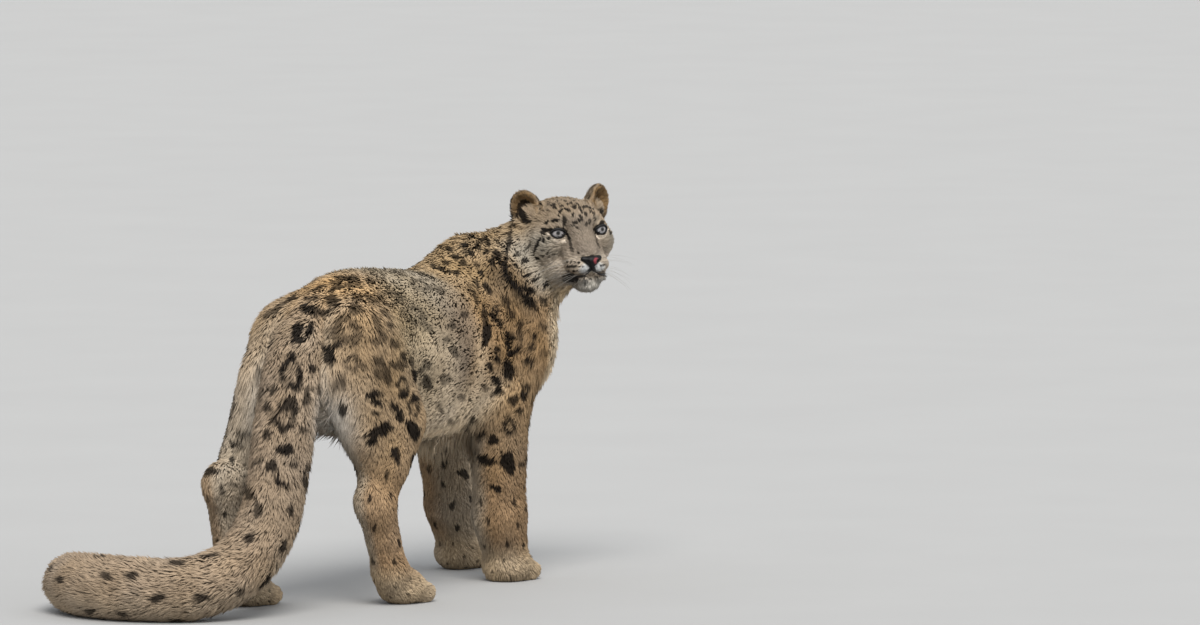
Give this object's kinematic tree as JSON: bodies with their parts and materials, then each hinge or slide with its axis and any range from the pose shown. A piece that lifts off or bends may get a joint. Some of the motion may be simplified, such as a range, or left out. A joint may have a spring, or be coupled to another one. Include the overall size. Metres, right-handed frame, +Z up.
{
  "type": "snow leopard figure",
  "caption": "Life-size snow leopard standing mid-step in its winter coat, looking back over its right shoulder, with its long tail laid on the floor.",
  "frame": {"origin": "middle of the box round the animal, on the floor its paws and tail rest on", "axes": "+X from tail to chest, +Y to the animal's left, +Z up"},
  "size_m": [1.1346, 0.6142, 0.6844],
  "materials": {
    "coat": "thick winter fur, buff and grey with black rosettes, white below",
    "ear_fur": "short fur, dark rims",
    "eye": "pale grey-green, round pupil, wet gloss",
    "nose": "bare pink skin, dark at the edges, slightly moist"
  },
  "bodies": {
    "root": {"torso": "coat", "neck": "coat", "head": "coat", "ear_left": "ear_fur", "ear_right": "ear_fur", "eye_left": "eye", "eye_right": "eye", "nose": "nose", "tail_1": "coat", "tail_2": "coat", "tail_3": "coat", "tail_4": "coat", "tail_5": "coat", "hind_right_thigh": "coat", "hind_right_shin": "coat", "hind_right_foot": "coat", "hind_left_thigh": "coat", "hind_left_shin": "coat", "hind_left_foot": "coat", "fore_right_arm": "coat", "fore_right_forearm": "coat", "fore_right_paw": "coat", "fore_left_arm": "coat", "fore_left_forearm": "coat", "fore_left_paw": "coat"}
  },
  "joints": []
}
